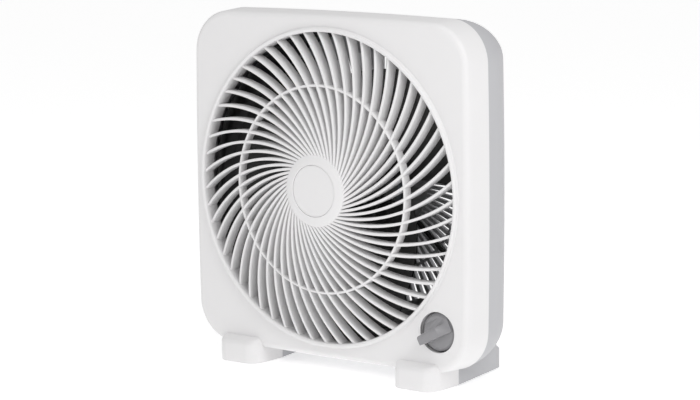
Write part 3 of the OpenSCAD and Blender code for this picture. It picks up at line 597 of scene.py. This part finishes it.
def front_foot(side):
    """The white half of a foot, with a round nose that fades into the face."""
    top = AXIS_Z - HALF_H + NOSE_TOP
    rise_y = FACE_Y + 4 * MM
    foot = block("foot", (side * FOOT_X - FOOT_W / 2, FOOT_NOSE_Y, FLOOR_Z + FOOT_GAP),
                 (side * FOOT_X + FOOT_W / 2, JOINT_Y - 0.01 * MM, top))
    edit(foot)
    pick(foot, "EDGE", lambda e: all(v.co.y < FACE_Y for v in e.verts)
         and abs(e.verts[0].co.x - e.verts[1].co.x) < MM)
    bpy.ops.mesh.bevel(offset=NOSE_ROUND, segments=10, profile=0.5, affect="EDGES")
    halve((0, rise_y, 0), (0, 1, 0))
    leave()
    # the top of the nose slopes up into the face
    for point in foot.data.vertices:
        if point.co.z > top - 0.1 * MM and point.co.y < rise_y - 1 * MM:
            point.co.z -= NOSE_SLOPE * (rise_y - point.co.y)
    edit(foot)
    pick(foot, "EDGE", lambda e: all(v.co.z > top - 12 * MM and v.co.y < rise_y + 0.1 * MM for v in e.verts)
         and not all(v.co.y > rise_y - 0.1 * MM for v in e.verts))
    bpy.ops.mesh.bevel(offset=NOSE_SHOULDER, segments=6, profile=0.5, affect="EDGES")
    pick(foot, "EDGE", lambda e: all(v.co.z < FLOOR_Z + 1 * MM and v.co.y < JOINT_Y - MM for v in e.verts))
    bpy.ops.mesh.bevel(offset=0.8 * MM, segments=3, profile=0.5, affect="EDGES")
    leave()
    return foot


def make_front_shell():
    """The white front half: a bowed, rounded tray with both noses, the knob's well and the screw posts."""
    shell = rounded_slab("front_shell_white", FACE_Y, JOINT_Y)
    edit(shell)
    pick(shell, "FACE", lambda f: f.normal.y > 0.9)
    bpy.ops.mesh.delete(type="FACE")
    pick(shell, "VERT", lambda v: v.co.y < FACE_Y + 0.1 * MM)
    bpy.ops.transform.resize(value=(1 - DRAFT / HALF_W, 1, 1 - DRAFT / HALF_H))
    leave()
    with_modifier(shell, "BEVEL", width=EDGE_R, segments=8,
                  limit_method="ANGLE", angle_limit=math.radians(50))
    with_modifier(shell, "SOLIDIFY", thickness=WALL, offset=-1.0, use_even_offset=True)
    add(shell, front_foot(-1), front_foot(1))
    lip_room = OPENING_R + LIP_W + 0.3 * MM
    cut(shell, peg("opening", lip_room, FACE_Y - 5 * MM, FACE_Y + 20 * MM, z=AXIS_Z, sides=256),
        peg("knob hole", KNOB_HOLE_R * MM, FACE_Y - 5 * MM, FACE_Y + 14 * MM, KNOB_X, KNOB_Z, 96))
    well = turned("knob well", [(KNOB_HOLE_R, -1), (KNOB_WELL_R, -1), (KNOB_WELL_R, -16.4),
                                (SPINDLE_HOLE_R, -16.4), (SPINDLE_HOLE_R, -14), (KNOB_HOLE_R, -14)],
                  96, KNOB_X, KNOB_Z)
    post = [(1.7, -15), (1.7, -35), (4.5, -35), (4.5, -1), (0.01, -1), (0.01, -15)]
    posts = [turned("screw post", post, 24, x, AXIS_Z + z) for x, z in SCREW_PLACES]
    return tidy(joined("front_shell_white", [shell, well] + posts))


def rear_foot(side):
    """The grey half of a foot, which tapers to its tail."""
    bottom = AXIS_Z - HALF_H
    foot = block("foot", (side * FOOT_X - FOOT_W / 2, JOINT_Y + 0.01 * MM, FLOOR_Z + FOOT_GAP),
                 (side * FOOT_X + FOOT_W / 2, FOOT_TAIL_Y, bottom + REAR_INSET + 1 * MM))
    edit(foot)
    for place in (BACK_Y, BACK_Y + 4 * MM):
        halve((0, place, 0), (0, 1, 0))
    leave()
    for point in foot.data.vertices:
        run = (point.co.y - JOINT_Y) / (FOOT_TAIL_Y - JOINT_Y)
        point.co.x = side * FOOT_X + (point.co.x - side * FOOT_X) * (1 - run * (1 - FOOT_TAIL_W / FOOT_W))
        if point.co.z > bottom:
            if point.co.y < JOINT_Y + MM:
                point.co.z = bottom + 2 * MM
            elif point.co.y > FOOT_TAIL_Y - MM:
                point.co.z = FLOOR_Z + TAIL_TOP
            elif point.co.y > BACK_Y + MM:
                point.co.z -= 3 * MM
    with_modifier(foot, "BEVEL", width=1.0 * MM, segments=3,
                  limit_method="ANGLE", angle_limit=math.radians(40))
    return foot


def make_rear_shell():
    """The grey rear half: it bulges inwards to the back plane and holds the feet's tails and the wells."""
    straight = 1.5 * MM
    shell = rounded_slab("rear_shell_grey", JOINT_Y, JOINT_Y + straight, JOINT_STEP)
    edit(shell)
    pick(shell, "FACE", lambda f: f.normal.y < -0.9)
    bpy.ops.mesh.delete(type="FACE")
    steps, depth = 12, BACK_Y - JOINT_Y
    reach, drawn = straight, 0.0
    for i in range(1, steps + 1):
        pick(shell, "FACE", lambda f: f.normal.y > 0.9
             and f.calc_center_median().y > JOINT_Y + reach - 0.1 * MM)
        next_reach = straight + (depth - straight) * math.sin(math.pi / 2 * i / steps)
        next_drawn = BULGE_R - math.sqrt(BULGE_R**2 - next_reach**2)
        bpy.ops.mesh.inset(thickness=next_drawn - drawn, depth=next_reach - reach, use_even_offset=True)
        reach, drawn = next_reach, next_drawn
    leave()
    with_modifier(shell, "SOLIDIFY", thickness=WALL, offset=-1.0, use_even_offset=True)
    add(shell, rear_foot(-1), rear_foot(1))
    inside, outside = BACK_Y - 8 * MM, BACK_Y + 8 * MM
    for x, z in SCREW_PLACES:
        add(shell, peg("screw well", WELL_R, JOINT_Y, BACK_Y - 1 * MM, x, AXIS_Z + z, 32))
    cut(shell, peg("intake", INTAKE_R, inside, outside, z=AXIS_Z, sides=192),
        peg("cord inlet", INLET_R, inside, outside, INLET_X, INLET_Z, 48))
    for x, z in SCREW_PLACES:
        cut(shell, peg("screw bore", BORE_R, JOINT_Y + 6 * MM, outside, x, AXIS_Z + z, 32),
            peg("screw pilot", PILOT_R, JOINT_Y - 2 * MM, JOINT_Y + 8 * MM, x, AXIS_Z + z, 24))
    return tidy(shell, 28)


settled(make_front_shell(), "housing", "white_plastic", "front_shell")
settled(make_rear_shell(), "housing", "pale_gray_plastic", "rear_shell")


# ---- swirl grille ----


def dome_rise(radius):
    """Height of the vanes' front edges in front of the face, by radius, both in metres."""
    t = (radius - HUB_R) / (OPENING_R - HUB_R)
    return (18.9 - 8.0 * t - 9.7 * t * t) * MM


def vane_station(radius):
    """Angle on the vane's arc at which it reaches a radius."""
    cx, cy = HUB_R - VANE_CURVE_R * math.sin(VANE_LEAD), VANE_CURVE_R * math.cos(VANE_LEAD)
    reach = math.hypot(cx, cy)
    bend = math.acos((reach**2 + VANE_CURVE_R**2 - radius**2) / (2 * reach * VANE_CURVE_R))
    return cx, cy, math.atan2(cy, cx) - math.pi + bend


def make_vanes():
    """One vane swept along its arc, domed and copied round."""
    cx, cy, start = vane_station(HUB_R - 2 * MM)
    end = vane_station(OPENING_R + 0.8 * MM)[2]
    half = VANE_T / 2
    bpy.ops.object.select_all(action="DESELECT")
    bpy.ops.mesh.primitive_plane_add(size=1)
    vane = named("vane")
    edit(vane)
    bpy.ops.mesh.select_all(action="SELECT")
    bpy.ops.transform.resize(value=(VANE_T, VANE_DEPTH, 1))
    pick(vane, "VERT", lambda v: v.co.y < 0)
    bpy.ops.mesh.bevel(offset=1.15 * MM, segments=3, profile=0.5, affect="VERTICES")
    pick(vane, "VERT", lambda v: v.co.y > 0)
    bpy.ops.transform.resize(value=(0.78, 1, 1))
    bpy.ops.mesh.select_all(action="SELECT")
    bpy.ops.transform.translate(value=(VANE_CURVE_R, VANE_DEPTH / 2, 0))
    leave()
    # the section stands at the arc's radius from the arc's own centre, and is turned to the first station
    vane.data.transform(
        Matrix.Translation((cx, FACE_Y, AXIS_Z + cy)) @ Matrix.Rotation(-start, 4, "Y"))
    edit(vane)
    bpy.ops.mesh.select_all(action="SELECT")
    bpy.ops.mesh.spin(steps=20, angle=end - start, center=(cx, FACE_Y, AXIS_Z + cy), axis=(0, 1, 0))
    leave()
    for point in vane.data.vertices:
        radius = math.hypot(point.co.x, point.co.z - AXIS_Z)
        point.co.y -= dome_rise(min(radius, OPENING_R))
    vane.data.transform(about_axis(-VANE_PHASE))
    tidy(vane, 50)
    return joined("grille_vanes", copies_around(vane, VANE_COUNT))


def make_grille_rings():
    """The raised lip round the opening, with the flange behind it, and the ring halfway in."""
    lip_top, opening, lip = 4.8, OPENING_R / MM, (OPENING_R + LIP_W) / MM
    rim = turned("grille_lip", [(opening, -12.5), (opening, lip_top - 2.2)]
                 + arc((opening + 2.2, lip_top - 2.2), 2.2, 180, 25, 8)
                 + arc((lip + 1.2, lip_top - 2.6), 2.6, 205, 265, 5)
                 + [(lip + 0.2, -0.3), (lip + 0.05, -2.9), (lip + 2.4, -2.9), (lip + 2.4, -4.9),
                    (opening + 2.4, -4.9), (opening + 2.4, -12.5)],
                 192)
    middle = MID_RING_R / MM
    ring = turned("grille_ring", [(middle - 0.1, 0.6), (middle - 0.1, 9.7)]
                  + arc((middle + 1.25, 9.7), 1.2, 160, 20, 4)
                  + [(middle + 2.6, 9.6), (middle + 2.5, 0.6)], 160)
    return joined("grille_rings", [rim, ring])


def make_hub():
    """The hollow hub with a round shoulder and a recess for its plate."""
    hub, badge = HUB_R / MM, BADGE_R / MM
    top = 21.3
    return turned("grille_hub", [(hub, 6.0), (hub, 16.4)] + arc((hub - 3.6, 16.4), 3.6, 0, 62, 6)
                  + [(badge + 3.6, top - 0.55), (badge + 1.6, top - 0.12)]
                  + arc((badge + 0.75, top - 0.45), 0.45, 90, 180, 3)
                  + [(badge + 0.3, top - 1.6), (0.01, top - 1.6), (0.01, top - 3.8),
                     (hub - 2.2, top - 5.4), (hub - 2.2, 6.0)], 128)


def make_badge():
    """The plain round plate in the hub."""
    badge = BADGE_R / MM
    top = 20.7
    return turned("badge_plate", [(0.01, top - 1.2), (badge, top - 1.2), (badge, top - 0.5)]
                  + arc((badge - 0.5, top - 0.5), 0.5, 0, 80, 4)
                  + [(badge - 2.0, top + 0.05), (0.01, top + 0.25)], 128)


grille = joined("front_grille_white", [make_vanes(), make_grille_rings(), make_hub()])
settled(grille, "housing", "white_plastic", "front_grille")
settled(make_badge(), "housing", "white_plastic", "hub_badge")


# ---- speed knob ----


def make_knob():
    """A round disc with a finger grip, which slopes down at its far end and flares on one flank."""
    disc = turned("knob_grey", [(0.01, -8.5), (DISC_R, -8.5), (DISC_R, -3.4),
                                (DISC_R - 3.0, -1.2), (0.01, -1.0)], 96, KNOB_X, KNOB_Z)
    grip = block("grip", (-17.0 * MM, -5.2 * MM, -4 * MM), (DISC_R * MM, 5.6 * MM, 9.6 * MM))
    edit(grip)
    for place in (-6.5, 10.0):
        halve((place * MM, 0, 0), (1, 0, 0))
    pick(grip, "EDGE", lambda e: all(v.co.z > 9 * MM and v.co.y < 0 and v.co.x > -10 * MM for v in e.verts))
    bpy.ops.mesh.bevel(offset=3.6 * MM, segments=6, profile=0.5, affect="EDGES")
    leave()
    for point in grip.data.vertices:
        if point.co.z > 0 and point.co.x < -10 * MM:
            point.co.z = 0.3 * MM
        if point.co.z < 0 and point.co.y < 0:
            point.co.y -= (11.0 if point.co.x < 15 * MM else 1.0) * MM
        if point.co.x > 15 * MM:
            point.co.y *= 0.88
    with_modifier(grip, "BEVEL", width=0.5 * MM, segments=3,
                  limit_method="ANGLE", angle_limit=math.radians(35))
    # the grip's x runs along the pointer and its z comes out of the face
    along, across = math.cos(POINTER), math.sin(POINTER)
    out = Matrix(((along, -across, 0), (0, 0, -1), (across, along, 0))).to_4x4()
    grip.data.transform(Matrix.Translation((KNOB_X, FACE_Y, KNOB_Z)) @ out)
    add(disc, grip)
    return tidy(disc, 30)


settled(make_knob(), "knob_body", "knob_plastic", "knob")
